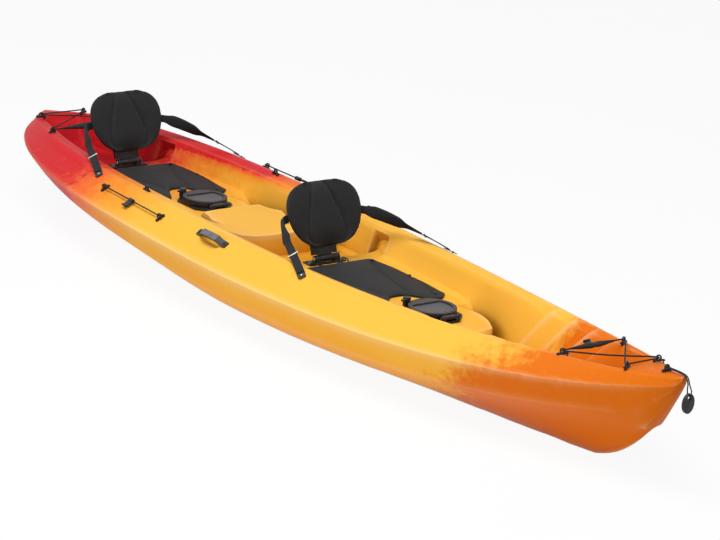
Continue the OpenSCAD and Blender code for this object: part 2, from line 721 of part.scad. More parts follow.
// Slider frames on the webbing
slider_t = 0.72;
slider_l = 5;
slider_rim = 2.5;
module along_strap(s, side, t) {
    o = strap_at(s, side, t);
    x = strap_along(s, side, t);
    y = strap_across(s, side, t);
    z = cross(x, y);
    multmatrix([[x.x, y.x, z.x, o.x], [x.y, y.y, z.y, o.y], [x.z, y.z, z.z, o.z]]) children();
}
module strap_sliders() {
    slot_w = strap_w + 4;
    slot_t = strap_t + 1.2;
    color("#b4b2ac")
    for (s = seats_x, side = [-1, 1])
        along_strap(s, side, slider_t)
        difference() {
            cube([slider_l, slot_w + 2 * slider_rim, slot_t + 3], center = true);
            cube([2 * slider_l, slot_w, slot_t], center = true);
        }
}

// Strap anchors: a flat tab on each rail under the end of its webbing, with one screw in front
anchor_rear = -14;
anchor_l = 44;
anchor_end_r = 6;
anchor_screw_dx = 18;
module anchor_at(s, side) {
    translate(rail_point(s + anchor_dx, side, anchor_share, rail_lift))
        rotate([-side * rail_slope(s + anchor_dx), 0, 0])
        rotate([0, 0, side * anchor_turn])
        children();
}
module anchor_outline() {
    w = strap_w / 2 - anchor_end_r;
    front = anchor_rear + anchor_l - anchor_end_r;
    translate([anchor_rear, -strap_w / 2]) square([front - anchor_rear, strap_w]);
    translate([anchor_rear, -w]) square([anchor_l, 2 * w]);
    for (e = [-1, 1]) translate([front, e * w]) circle(r = anchor_end_r);
}
module strap_anchors() {
    color("#151516")
    for (s = seats_x, side = [-1, 1])
        anchor_at(s, side)
        difference() {
            linear_extrude(anchor_t) anchor_outline();
            translate([anchor_screw_dx, 0, -1]) cylinder(r = screw_r + running_gap, h = anchor_t + 2);
        }
}
module anchor_screws() {
    color("#b9bbbf")
    for (s = seats_x, side = [-1, 1])
        anchor_at(s, side) translate([anchor_screw_dx, 0, anchor_t]) screw(anchor_t + 2 * wall);
}

// Hatches: a long octagon frame with a collar, a hinged round lid, its seal and a turn latch
collar_t = 6;
collar_h = 8;
spigot_h = 12;
frame_cut = 45;
lid_z = frame_t + 1;
lid_hinge_x = lid_r + 12;
lid_hinge_z = 18;
lid_knuckle_r = 7;
lid_knuckle_half = 20;
lid_lug_w = 16;
seal_t = 3;
lid_bay_h = frame_t + collar_h + seal_t - lid_z;
latch_post_r = 6;
latch_hub_r = 13;
latch_p = -(lid_r + latch_hub_r + 3) * [cos(23), sin(23)];
latch_l = 32;
latch_w = 13;
latch_t = 5;
latch_angle = atan2(-latch_p.y, -latch_p.x) - 90;
latch_gap = 0.8;
frame_screws = [[62, 66], [62, -66], [-62, 66], [-62, -66], [-95, 6]];
module hatch_at(i) {
    translate([hatches_x[i], 0, seat_h]) children();
}
module frame_outline() {
    a = frame_l / 2;
    b = frame_w / 2;
    c = frame_cut;
    polygon([
        [a, b - c], [a - c, b], [c - a, b], [-a, b - c],
        [-a, c - b], [c - a, -b], [a - c, -b], [a, c - b]
    ]);
}
module hatch_base(i) {
    lug_c = lid_knuckle_half + side_gap + lid_lug_w / 2;
    collar_l = spigot_h + frame_t + collar_h;
    color("#1a1a1b")
    hatch_at(i)
    difference() {
        union() {
            linear_extrude(frame_t) frame_outline();
            translate([0, 0, -spigot_h]) cylinder(r = mouth_r + collar_t, h = collar_l, $fn = 64);
            for (side = [-1, 1])
                translate([lid_hinge_x, side * lug_c, 0]) {
                    translate([0, 0, lid_hinge_z]) bar_y(lid_knuckle_r, lid_lug_w);
                    translate([-lid_knuckle_r, -lid_lug_w / 2, 0])
                        cube([2 * lid_knuckle_r, lid_lug_w, lid_hinge_z]);
                }
            translate([latch_p.x, latch_p.y, 0]) cylinder(r = latch_post_r, h = lid_z + lid_t - 2);
        }
        translate([0, 0, -spigot_h - 1]) cylinder(r = mouth_r, h = collar_l + 2, $fn = 64);
        translate([lid_hinge_x, 0, lid_hinge_z]) bar_y(lid_pin_r + running_gap, 4 * lug_c);
        for (p = frame_screws)
            translate([p.x, p.y, -1]) cylinder(r = screw_r + running_gap, h = frame_t + 2);
    }
}
module front_hatch_base() {
    hatch_base(0);
}
module rear_hatch_base() {
    hatch_base(1);
}
dish_r = 66;
dish_d = 5;
dish_chord = -36;
lid_skirt = 6;
module hatch_lid(i) {
    color("#222224")
    hatch_at(i)
    difference() {
        union() {
            translate([0, 0, lid_z]) cylinder(r = lid_r, h = lid_t, $fn = 64);
            translate([lid_hinge_x, 0, lid_hinge_z]) bar_y(lid_knuckle_r, 2 * lid_knuckle_half);
            translate([lid_r - 14, -lid_knuckle_half, lid_hinge_z - 5])
                cube([lid_hinge_x - lid_r + 14, 2 * lid_knuckle_half, 10]);
        }
        translate([0, 0, lid_z - 1])
            cylinder(r = lid_r - lid_skirt, h = lid_bay_h + 1, $fn = 64);
        translate([0, 0, lid_z + lid_t - dish_d])
            linear_extrude(dish_d + 1)
            intersection() {
                circle(r = dish_r, $fn = 64);
                translate([dish_chord, -dish_r]) square([2 * dish_r, 2 * dish_r]);
            }
        translate([lid_hinge_x, 0, lid_hinge_z]) bar_y(lid_pin_r + running_gap, 3 * lid_knuckle_half);
    }
}
module front_hatch_lid() {
    hatch_lid(0);
}
module rear_hatch_lid() {
    hatch_lid(1);
}
// Seal inside the lid, over the collar
module hatch_seal(i) {
    color("#3c3c3e")
    hatch_at(i)
    translate([0, 0, frame_t + collar_h + rest_gap])
    rotate_extrude($fn = 64)
    translate([mouth_r + 1, 0])
    square([collar_t, seal_t - rest_gap]);
}
module front_hatch_seal() {
    hatch_seal(0);
}
module rear_hatch_seal() {
    hatch_seal(1);
}
module lid_pin(i) {
    color("#c8c9cc")
    hatch_at(i)
    translate([lid_hinge_x, 0, lid_hinge_z])
    bar_y(lid_pin_r, 2 * (lid_knuckle_half + side_gap + lid_lug_w));
}
module front_lid_pin() {
    lid_pin(0);
}
module rear_lid_pin() {
    lid_pin(1);
}
// Turn latch: a knob on the frame's post, with a tongue parked beside the lid
module latch(i) {
    under = frame_t + rest_gap;
    tongue_z = lid_z + lid_t + latch_gap;
    color("#2b2b2d")
    hatch_at(i)
    translate([latch_p.x, latch_p.y, 0])
    rotate([0, 0, latch_angle])
    difference() {
        union() {
            translate([0, 0, under]) cylinder(r = latch_hub_r, h = tongue_z + latch_t + 3 - under);
            translate([0, -latch_w / 2, tongue_z]) cube([latch_l - latch_w / 2, latch_w, latch_t]);
            translate([latch_l - latch_w / 2, 0, tongue_z]) cylinder(r = latch_w / 2, h = latch_t);
        }
        translate([0, 0, under - 1]) cylinder(r = latch_post_r + running_gap, h = lid_z + lid_t - under);
    }
}
module front_latch() {
    latch(0);
}
module rear_latch() {
    latch(1);
}
module hatch_screws() {
    color("#1d1d1e")
    for (i = [0, 1], p = frame_screws)
        hatch_at(i) translate([p.x, p.y, frame_t]) screw(frame_t + 1.5 * wall);
}

// Pad eyes: a base with two screws and an upright drilled lug, its hole along Y before turning
eye_base_t = 3;
eye_lug_r = 9;
eye_lug_z = eye_base_t + 8;
eye_screw_dx = 14;
eye_end_r = 6;
module pad_eye() {
    color("#141415")
    difference() {
        union() {
            translate([-eye_screw_dx, -eye_end_r, 0]) cube([2 * eye_screw_dx, 2 * eye_end_r, eye_base_t]);
            for (e = [-1, 1]) translate([e * eye_screw_dx, 0, 0]) cylinder(r = eye_end_r, h = eye_base_t);
            translate([-eye_lug_r, -eye_t / 2, 0]) cube([2 * eye_lug_r, eye_t, eye_lug_z]);
            translate([0, 0, eye_lug_z]) bar_y(eye_lug_r, eye_t);
        }
        translate([0, 0, eye_lug_z]) bar_y(eye_bore_r, 3 * eye_t);
        for (e = [-1, 1])
            translate([e * eye_screw_dx, 0, -1]) cylinder(r = screw_r + running_gap, h = eye_base_t + 2);
    }
}
module eye_pair_screws() {
    color("#1d1d1e")
    for (e = [-1, 1]) translate([e * eye_screw_dx, 0, eye_base_t]) screw(eye_base_t + 2 * wall);
}

// Deck eyes: place along the hull, how far inside the crest, and the turn of the hole along the lacing
function lacing_turn(xs, ins, i) =
    let (
        p = [xs[i], crest_y(xs[i]) - ins[i]],
        q = [xs[1 - i], ins[1 - i] - crest_y(xs[1 - i])],
        m = unit(unit(q - p) + [0, 1])
    )
    atan2(-m.x, m.y);
function lacing_list(xs, ins) = [for (i = [0, 1]) [xs[i], ins[i], lacing_turn(xs, ins, i)]];
bow_list = lacing_list([half_l - 399, half_l - 179], [12, 14]);
stern_list = lacing_list([369 - half_l, 129 - half_l], [12, 16]);
rail_list = [[bench_aft_x - 105, 12, 0]];
toggle_eye_x = half_l - 76;
function eye_y(e) = crest_y(e[0]) - e[1];
function eye_tilt(x, y) = -atan2(deck_at(x + 20, y) - deck_at(x - 20, y), 40);
function eye_z(x, y) = max(
    [for (dx = [-20, 0, 20], dy = [-20, -10, 0, 10, 20])
        deck_at(x + dx, min(y + dy, crest_y(x + dx))) + dx * tan(eye_tilt(x, y))]
) + rest_gap;
module eye_at(e, side) {
    y = eye_y(e);
    translate([e[0], side * y, eye_z(e[0], y)])
        rotate([0, eye_tilt(e[0], y), 0])
        rotate([0, 0, side * e[2]])
        children();
}
module eyes(list) {
    for (e = list, side = [-1, 1]) eye_at(e, side) pad_eye();
}
module bow_eyes() {
    eyes(bow_list);
}
module stern_eyes() {
    eyes(stern_list);
}
module rail_eyes() {
    eyes(rail_list);
}
module at_toggle_eye() {
    translate([toggle_eye_x, 0, crest_z(toggle_eye_x + 20) + deck_crown + rest_gap])
        rotate([0, -4, 0]) rotate([0, 0, 90]) children();
}
module toggle_eye() {
    at_toggle_eye() pad_eye();
}

// Eyes of the paddle keepers and handles, on the panel below the rail
keeper_x = [handle_x - 300, handle_x - 680];
panel_lift = 3.6;
function panel_point(x, side, t, lift) =
    let (p = mix([shoulder_y(x), shoulder_z(x)], [wale_y(x), wale_z(x)], t), a = panel_slope(x))
    [x, side * (p.x + lift * sin(a)), p.y + lift * cos(a)];
module on_panel(x, side, t, lift) {
    translate(panel_point(x, side, t, lift)) rotate([-side * panel_slope(x), 0, 0]) children();
}
keeper_t = 0.2;
module keeper_eye_at(x, side) {
    on_panel(x, side, keeper_t, panel_lift) rotate([0, 0, 90]) children();
}
module keeper_eyes() {
    for (x = keeper_x, side = [-1, 1]) keeper_eye_at(x, side) pad_eye();
}
module eye_screws() {
    for (e = concat(bow_list, stern_list, rail_list), side = [-1, 1]) eye_at(e, side) eye_pair_screws();
    for (x = keeper_x, side = [-1, 1]) keeper_eye_at(x, side) eye_pair_screws();
    at_toggle_eye() eye_pair_screws();
}

// A round cord through a list of points
function cord_ring(pts, i, r, ref) =
    let (
        n = len(pts) - 1,
        t = unit(unit(pts[min(n, i + 1)] - pts[i]) + unit(pts[i] - pts[max(0, i - 1)])),
        a = unit(cross(ref, t)),
        b = cross(t, a)
    )
    [for (k = [0:7]) pts[i] + r * (cos(45 * k) * a - sin(45 * k) * b)];
module cord(pts, r, ref) {
    color("#111112")
    loft([for (i = [0:len(pts) - 1]) cord_ring(pts, i, r, ref)]);
}

// Lacing over a well: one run across, two crossing runs, and a short run across the end
function eye_hole(e, side) =
    let (y = eye_y(e), a = eye_tilt(e[0], y))
    [e[0] + eye_lug_z * sin(a), side * y, eye_z(e[0], y) + eye_lug_z * cos(a)];
function bend(p, a, b) =
    let (m = unit(unit(b - p) - unit(a - p)))
    [p + 26 * unit(a - p) - 5 * m, p + 10 * unit(a - p) - 5 * m, p - 3 * m, p + 3 * m,
        p + 10 * unit(b - p) + 5 * m, p + 26 * unit(b - p) + 5 * m];
cross_lift = 4;
function lacing(list) =
    let (
        a = eye_hole(list[0], -1), b = eye_hole(list[0], 1),
        c = eye_hole(list[1], -1), d = eye_hole(list[1], 1),
        m = (a + b) / 2,
        q = (a + b + c + d) / 4
    )
    concat(
        [m + [0, 4, 0]], bend(b, m, c), [mix(b, c, 0.5) + [0, 0, cross_lift]], bend(c, b, d),
        bend(d, c, a), [mix(d, a, 0.5) - [0, 0, cross_lift]], bend(a, d, m), [m - [0, 4, 0]]
    );
module bow_lacing() {
    cord(lacing(bow_list), cord_r, [0, 0, 1]);
}
module stern_lacing() {
    cord(lacing(stern_list), cord_r, [0, 0, 1]);
}

// Thin elastic cord in front of the front seat's hinge: two strands that cross, from the hinge and the deck
seat_cord_r = 1.5;
seat_cord_low = [
    [4, -66, 10], [16, -64, 9], [27, -46, 4], [34, -14, 3],
    [34, 10, 3], [29, 30, 4], [22, 50, 7], [10, 57, 9]
];
seat_cord_high = [
    [16, -8, 6], [21, 10, 9], [29, 28, 9], [35, 46, 5],
    [33, 64, 3], [24, 78, 4], [6, 83, 6], [-16, 80, 6]
];
module front_seat_cord() {
    for (route = [seat_cord_low, seat_cord_high])
        cord([for (p = route) p + [front_x, 0, seat_h]], seat_cord_r, [0, 0, 1]);
}

// A flat hook drilled for its cord, which runs along Y
hook_l = 34;
hook_t = 26;
hook_w = 15;
module hook() {
    color("#1b1b1c")
    difference() {
        union() {
            bar_y(hook_w / 2, hook_t);
            translate([-hook_l, -hook_t / 2, -2]) cube([hook_l, hook_t, 4]);
            translate([-hook_l, -hook_t / 2, -2]) cube([4, hook_t, 9]);
        }
        bar_y(cord_r + 2 * rest_gap, 2 * hook_t);
    }
}
function lacing_middle(list) = (eye_hole(list[0], -1) + eye_hole(list[0], 1)) / 2;
module bow_hook() {
    translate(lacing_middle(bow_list)) hook();
}
module stern_hook() {
    translate(lacing_middle(stern_list)) rotate([0, 0, 180]) hook();
}

// Paddle keepers: a cord between two eyes on each side, with a flat hook at its middle
function keeper_hole(x, side) = panel_point(x, side, keeper_t, panel_lift + eye_lug_z);
function keeper_middle(side) = (keeper_hole(keeper_x[0], side) + keeper_hole(keeper_x[1], side)) / 2;
keeper_tail = 14;
module keeper_cord(side) {
    a = keeper_hole(keeper_x[0], side);
    b = keeper_hole(keeper_x[1], side);
    d = unit(b - a);
    cord([a - keeper_tail * d, a, mix(a, b, 0.25), mix(a, b, 0.5), mix(a, b, 0.75), b, b + keeper_tail * d],
        cord_r, [0, 0, 1]);
}
module left_keeper_cord() {
    keeper_cord(1);
}
module right_keeper_cord() {
    keeper_cord(-1);
}
module keeper_hook(side) {
    d = unit(keeper_hole(keeper_x[1], side) - keeper_hole(keeper_x[0], side));
    u = unit([0, side * sin(panel_slope(handle_x - 490)), cos(panel_slope(handle_x - 490))]);
    z = unit(u - d * (u * d));
    x = cross(d, z);
    o = keeper_middle(side);
    multmatrix([[x.x, d.x, z.x, o.x], [x.y, d.y, z.y, o.y], [x.z, d.z, z.z, o.z]])
        rotate([0, 0, side > 0 ? 180 : 0]) hook();
}
module left_keeper_hook() {
    keeper_hook(1);
}
module right_keeper_hook() {
    keeper_hook(-1);
}

// Bow toggle on a doubled cord over the stem head
toggle_p = [half_l + 26, 0, bow_h - 48];
toggle_w = 44;
toggle_h = 62;
toggle_t = 9;
toggle_hole_r = 7;
toggle_cord_r = 2;
toggle_side = toggle_t / 2 + toggle_cord_r + 0.8;
function toggle_hole() =
    let (tilt = 4)
    [
        toggle_eye_x - eye_lug_z * sin(tilt), 0,
        crest_z(toggle_eye_x + 20) + deck_crown + rest_gap + eye_lug_z * cos(tilt)
    ];
// One of the two strands: through the eye, over the stem head, and past a face of the grip to its hole
function toggle_strand(side) = concat(
    [for (p = [[-8, 2.4, 0], [7, 2.4, 0]]) toggle_hole() + [p.x, side * p.y, p.z]],
    [for (p = [[-26, 3, 14], [2, 3, 12], [13, 3, 4], [20, 3, -10]])
        [half_l + p.x, side * p.y, bow_h + p.z]],
    [for (p = [[toggle_side, 2, 20], [toggle_side, 0, 9], [toggle_side - 0.7, 0, 5.2]])
        toggle_p + [side * p.x, side * p.y, p.z]],
    [for (p = [[toggle_t / 2, 0, 4], [0.3, 0, 4]]) toggle_p + [side * p.x, 0, p.z]]
);
module toggle_cord() {
    for (side = [-1, 1]) cord(toggle_strand(side), toggle_cord_r, [0, 1, 0.05]);
}
module toggle_grip() {
    color("#1b1b1c")
    translate(toggle_p)
    rotate([0, 90, 0])
    translate([0, 0, -toggle_t / 2])
    difference() {
        translate([toggle_h / 2 - 12, 0, 0]) scale([toggle_h / toggle_w, 1, 1])
            cylinder(r = toggle_w / 2, h = toggle_t, $fn = 48);
        translate([0, 0, -1]) cylinder(r = toggle_hole_r, h = toggle_t + 2);
    }
}

// Carry handles: a bent grip over the scoop, bolted at both ends
grip_rise = 24;
grip_t = 11;
grip_foot = 26;
foot_t = 6;
handle_lift = 2;
handle_screw_x = (grip_l - grip_foot + 4) / 2;
function handle_slope(x) = rail_slope(x) + 12;
module handle_at(side) {
    translate([handle_x, side * (shoulder_y(handle_x) + 2), shoulder_z(handle_x) + handle_lift])
        rotate([-side * handle_slope(handle_x), 0, 0])
        children();
}
module grip_profile() {
    a = grip_l / 2;
    b = a - grip_foot;
    c = b - 16;
    polygon([
        [-a, 0], [-b, 0], [-c, grip_rise - grip_t], [c, grip_rise - grip_t], [b, 0], [a, 0],
        [a, foot_t], [b + 4, foot_t], [c + 3, grip_rise],
        [-c - 3, grip_rise], [-b - 4, foot_t], [-a, foot_t]
    ]);
}
module carry_handle(side) {
    color("#59595b")
    handle_at(side)
    difference() {
        rotate([90, 0, 0]) translate([0, 0, -grip_w / 2]) linear_extrude(grip_w) grip_profile();
        for (e = [-1, 1])
            translate([e * handle_screw_x, 0, -1]) cylinder(r = screw_r + running_gap, h = foot_t + 2);
    }
}
module left_carry_handle() {
    carry_handle(1);
}
module right_carry_handle() {
    carry_handle(-1);
}
module handle_screws() {
    color("#1d1d1e")
    for (side = [-1, 1], e = [-1, 1])
        handle_at(side) translate([e * handle_screw_x, 0, foot_t]) screw(foot_t + 2 * wall);
}

hull();
front_seat_pad();
rear_seat_pad();
seat_pad_studs();
front_back_pad();
rear_back_pad();
front_back_shell();
rear_back_shell();
front_hinge_base();
rear_hinge_base();
front_hinge_pin();
rear_hinge_pin();
hinge_screws();
front_left_strap();
front_right_strap();
rear_left_strap();
rear_right_strap();
strap_sliders();
strap_anchors();
anchor_screws();
front_hatch_base();
rear_hatch_base();
front_hatch_lid();
rear_hatch_lid();
front_hatch_seal();
rear_hatch_seal();
front_lid_pin();
rear_lid_pin();
front_latch();
rear_latch();
hatch_screws();
bow_eyes();
bow_lacing();
bow_hook();
stern_eyes();
stern_lacing();
stern_hook();
rail_eyes();
eye_screws();
front_seat_cord();
toggle_eye();
toggle_cord();
toggle_grip();
keeper_eyes();
left_keeper_cord();
right_keeper_cord();
left_keeper_hook();
right_keeper_hook();
left_carry_handle();
right_carry_handle();
handle_screws();
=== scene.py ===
"""Looks of a tandem sit-on-top kayak around its CAD frame. Metres, bow to +X, left side to +Y."""
import contextlib
import json
import math

import bpy
import numpy as np
from mathutils import Matrix, Vector


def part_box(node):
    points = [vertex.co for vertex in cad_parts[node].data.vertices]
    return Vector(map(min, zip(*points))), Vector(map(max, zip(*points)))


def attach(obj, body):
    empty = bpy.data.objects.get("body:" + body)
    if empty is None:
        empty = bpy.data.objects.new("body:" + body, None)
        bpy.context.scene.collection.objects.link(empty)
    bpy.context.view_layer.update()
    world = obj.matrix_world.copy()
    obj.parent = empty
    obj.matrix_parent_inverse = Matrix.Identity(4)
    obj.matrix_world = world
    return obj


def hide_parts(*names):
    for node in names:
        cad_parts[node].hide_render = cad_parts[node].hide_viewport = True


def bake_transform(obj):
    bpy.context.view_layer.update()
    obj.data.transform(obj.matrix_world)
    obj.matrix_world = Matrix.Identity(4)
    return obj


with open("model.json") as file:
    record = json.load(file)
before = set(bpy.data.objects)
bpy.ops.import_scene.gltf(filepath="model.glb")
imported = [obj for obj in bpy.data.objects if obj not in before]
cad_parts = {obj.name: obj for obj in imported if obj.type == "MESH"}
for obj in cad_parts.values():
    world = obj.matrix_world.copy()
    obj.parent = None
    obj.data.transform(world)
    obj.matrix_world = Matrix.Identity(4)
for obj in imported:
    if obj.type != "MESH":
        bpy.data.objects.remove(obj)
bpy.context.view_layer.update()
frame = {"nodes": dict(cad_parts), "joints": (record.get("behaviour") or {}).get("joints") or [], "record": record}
NODES = frame["nodes"]
SLOT_OF = {part["node"]: part["material_slot"] for part in frame["record"]["subparts"]}
BODY_OF = {node: body for body, members in frame["record"]["behaviour"]["bodies"].items() for node in members}
SEATS = ("front", "rear")
SIDES = {"left": 1, "right": -1}

# Places that the CAD part gives, in metres
HINGE = {seat: Vector(joint["pos_m"]) for seat in SEATS for joint in frame["joints"]
         if joint["name"] == seat + "_back_fold"}
BACK_LEAN = math.radians(23)
NECK_H = 0.036
BACK_H = 0.228
BACK_W = 0.308
BACK_WRAP = 0.034
HANDLE_X = sum(corner.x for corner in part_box("left_carry_handle")) / 2
HANDLE_TILT = math.radians(38)
LID_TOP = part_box("front_hatch_lid")[1].z


# Camera at the photograph's angle
def photo_camera():
    azimuth, elevation, roll = (math.radians(a) for a in (52.36, 17.67, 4.33))
    focal_px, distance = 2808, 9.58
    shift_px = Vector((-44.17, -14.45))
    target = Vector((0, 0, 0.2))
    back = Vector((math.sin(azimuth) * math.cos(elevation),
                   -math.cos(azimuth) * math.cos(elevation),
                   math.sin(elevation)))
    level = Vector((math.cos(azimuth), math.sin(azimuth), 0))
    above = back.cross(level)
    right = level * math.cos(roll) + above * math.sin(roll)
    up = above * math.cos(roll) - level * math.sin(roll)
    data = bpy.data.cameras.new("photo_camera")
    data.sensor_width = 36
    data.lens = focal_px * data.sensor_width / 720
    data.clip_end = 100
    camera = bpy.data.objects.new("photo_camera", data)
    bpy.context.scene.collection.objects.link(camera)
    camera.matrix_world = Matrix((right, up, back)).transposed().to_4x4()
    per_px = distance / focal_px
    camera.location = target + back * distance - right * shift_px.x * per_px + up * shift_px.y * per_px
    bpy.context.scene.camera = camera


photo_camera()


# Modelling helpers
def pick(piece):
    bpy.ops.object.select_all(action="DESELECT")
    piece.select_set(True)
    bpy.context.view_layer.objects.active = piece
    return piece


@contextlib.contextmanager
def editing(piece):
    pick(piece)
    bpy.ops.object.mode_set(mode="EDIT")
    bpy.ops.mesh.select_all(action="SELECT")
    yield
    bpy.ops.object.mode_set(mode="OBJECT")


def named(name):
    piece = bpy.context.active_object
    piece.name = name
    piece.data.name = name
    return piece


def copy_of(node, name):
    """A merged copy of a CAD node's mesh, without its material."""
    piece = bpy.data.objects.new(name, NODES[node].data.copy())
    bpy.context.scene.collection.objects.link(piece)
    piece.data.materials.clear()
    with editing(piece):
        bpy.ops.mesh.remove_doubles(threshold=0.00002)
    return piece


def points_of(mesh):
    co = np.zeros(len(mesh.vertices) * 3, np.float32)
    mesh.vertices.foreach_get("co", co)
    return co.reshape(-1, 3).astype(float)


def set_points(mesh, co):
    mesh.vertices.foreach_set("co", co.astype(np.float32).ravel())
    mesh.update()


def evaluated_points(piece):
    graph = bpy.context.evaluated_depsgraph_get()
    graph.update()
    return points_of(piece.evaluated_get(graph).data)


def apply(piece, kind, **settings):
    """Adds a modifier, sets it and applies it."""
    pick(piece)
    modifier = piece.modifiers.new(kind.lower(), kind)
    for key, value in settings.items():
        setattr(modifier, key, value)
    bpy.ops.object.modifier_apply(modifier=modifier.name)


def normals_of(mesh):
    normal = np.zeros(len(mesh.vertices) * 3, np.float32)
    mesh.vertices.foreach_get("normal", normal)
    return normal.reshape(-1, 3).astype(float)


def subdivide(piece, levels, rounds=0, share=0.8):
    """Smooths a cage, pushed along its normals in rounds so that the skin stays near the cage's points."""
    pick(piece)
    modifier = piece.modifiers.new("smooth", "SUBSURF")
    modifier.levels = levels
    modifier.render_levels = levels
    goal = points_of(piece.data)
    normal = normals_of(piece.data)
    for _ in range(rounds):
        reached = evaluated_points(piece)[:len(goal)]
        gap = ((goal - reached) * normal).sum(axis=1, keepdims=True)
        set_points(piece.data, points_of(piece.data) + share * gap * normal)
    bpy.ops.object.modifier_apply(modifier=modifier.name)


def stiffen(piece, steps):
    """Creases edges. Each step adds some crease to the edges that are sharper than its angle."""
    with editing(piece):
        bpy.ops.mesh.select_mode(type="EDGE")
        for angle, amount in steps:
            bpy.ops.mesh.select_all(action="DESELECT")
            bpy.ops.mesh.edges_select_sharp(sharpness=math.radians(angle))
            bpy.ops.transform.edge_crease(value=amount)


def smooth_shade(piece, angle=None):
    pick(piece)
    if angle is None:
        bpy.ops.object.shade_smooth()
    else:
        bpy.ops.object.shade_smooth_by_angle(angle=math.radians(angle))


def quads(piece):
    with editing(piece):
        bpy.ops.mesh.tris_convert_to_quads(face_threshold=math.pi, shape_threshold=math.pi)


def dress(piece, finish, *nodes, body=None):
    """Gives a piece its finish, lets it stand for CAD nodes and ride with their body."""
    piece.data.materials.clear()
    piece.data.materials.append(finish)
    if nodes:
        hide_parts(*nodes)
    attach(piece, body or BODY_OF[nodes[0]])
    return piece


# Finishes
class Wire:
    """An output of a shader node, so that maths on outputs reads as maths."""

    def __init__(self, graph, socket):
        self.graph = graph
        self.socket = socket

    def maths(self, operation, *others):
        inputs = dict(enumerate([self, *others]))
        return self.graph.node("Math", {"operation": operation}, inputs)

    def __add__(self, other):
        return self.maths("ADD", other)

    def __sub__(self, other):
        return self.maths("SUBTRACT", other)

    def __mul__(self, other):
        return self.maths("MULTIPLY", other)

    def __rsub__(self, other):
        return self.graph.node("Math", {"operation": "SUBTRACT"}, {0: other, 1: self})

    __radd__ = __add__
    __rmul__ = __mul__

    def sine(self):
        return self.maths("SINE")

    def sign(self):
        return self.maths("SIGN")

    def larger(self, other):
        return self.maths("MAXIMUM", other)

    def step(self, start, end):
        """A smooth rise from 0 at start to 1 at end."""
        inputs = {"Value": self, "From Min": start, "From Max": end}
        return self.graph.node("MapRange", {"interpolation_type": "SMOOTHSTEP"}, inputs, "Result")


class Graph:
    """A node tree with a method that adds any node."""

    def __init__(self, tree):
        self.tree = tree

    def node(self, kind, settings=None, inputs=None, output=0):
        made = self.tree.nodes.new("ShaderNode" + kind)
        for key, value in (settings or {}).items():
            setattr(made, key, value)
        for key, value in (inputs or {}).items():
            self.plug(made.inputs[key], value)
        return Wire(self, made.outputs[output])

    def plug(self, socket, value):
        if isinstance(value, Wire):
            self.tree.links.new(value.socket, socket)
        elif isinstance(value, tuple) and len(value) == 3 and socket.type == "RGBA":
            socket.default_value = (*value, 1)
        else:
            socket.default_value = value

    def place(self):
        return self.node("TexCoord", output="Object")

    def axes(self, vector):
        return [self.node("SeparateXYZ", inputs={0: vector}, output=axis) for axis in "XYZ"]

    def noise(self, vector, scale, detail=2.0, roughness=0.5):
        inputs = {"Vector": vector, "Scale": scale, "Detail": detail, "Roughness": roughness}
        return self.node("TexNoise", inputs=inputs, output="Fac")

    def mixed(self, mask, low, high, how="MIX"):
        return self.node("Mix", {"data_type": "RGBA", "blend_type": how}, {0: mask, 6: low, 7: high}, 2)


class Finish(Graph):
    """A material with one main shader. Its constants are set by keyword."""

    def __init__(self, name, **constants):
        self.material = bpy.data.materials.new(name)
        self.material.use_nodes = True
        super().__init__(self.material.node_tree)
        self.shader = self.tree.nodes["Principled BSDF"]
        for socket, value in constants.items():
            self.shader.inputs[socket.replace("_", " ")].default_value = value

    def shade(self, colour, roughness=None, height=None, depth=0.001, strength=1.0):
        """Links what varies over the surface. Height is in units of depth, in metres."""
        self.plug(self.shader.inputs["Base Color"], colour)
        if roughness is not None:
            self.plug(self.shader.inputs["Roughness"], roughness)
        if height is not None:
            bump = {"Height": height, "Distance": depth, "Strength": strength}
            self.plug(self.shader.inputs["Normal"], self.node("Bump", inputs=bump))
        return self.material


CRIMSON = (0.42, 0.007, 0.020)
RED = (0.64, 0.017, 0.022)
SALMON = (0.82, 0.125, 0.028)
AMBER = (0.86, 0.30, 0.026)
YELLOW = (0.90, 0.47, 0.055)
# Painted shade: a darker, deeper copy of YELLOW for the hull's shaded lower side
SHADED_YELLOW = (0.87, 0.37, 0.012)
ORANGE = (0.72, 0.155, 0.004)


